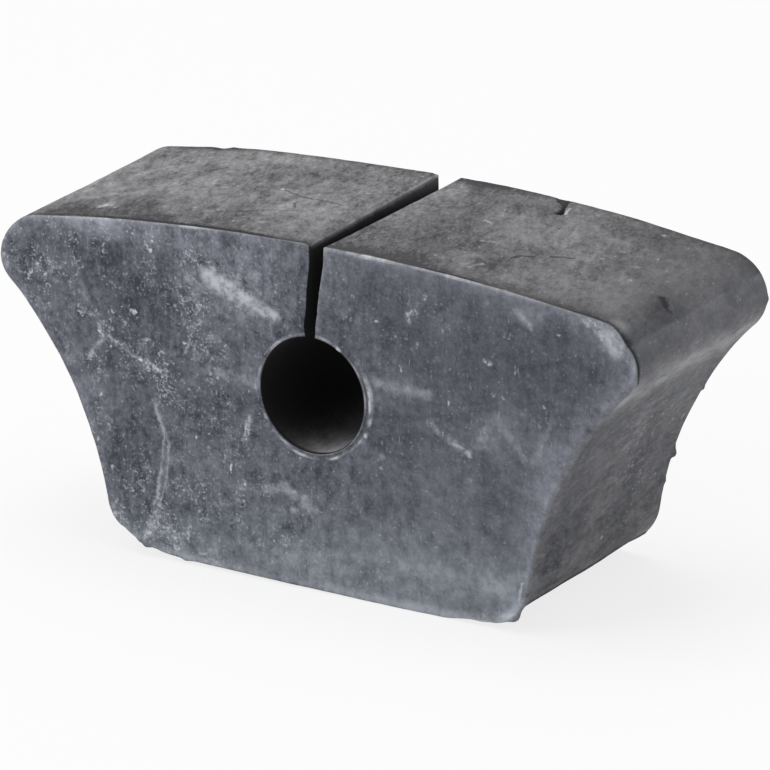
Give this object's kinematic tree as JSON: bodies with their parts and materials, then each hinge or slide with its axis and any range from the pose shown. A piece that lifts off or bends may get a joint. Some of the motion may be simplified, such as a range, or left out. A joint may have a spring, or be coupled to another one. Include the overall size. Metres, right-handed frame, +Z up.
{
  "type": "sway bar bushing",
  "caption": "Solid rubber bushing with a shallow crown, round noses, hollow flanks and a flat base, bored for a round bar and slit from the crown to the bore.",
  "frame": {"origin": "on the bore's axis, half way along the bushing between its two end faces", "axes": "+X across the bushing, from nose to nose; +Y along the bar, from the front end face with the moulding bead to the back end face; +Z up, from the flat base to the crown"},
  "size_m": [0.1232, 0.0435, 0.0606],
  "materials": {
    "rubber": "matt moulded rubber with a pale talc bloom and scuffs"
  },
  "bodies": {
    "root": {"bushing": "rubber"}
  },
  "joints": []
}
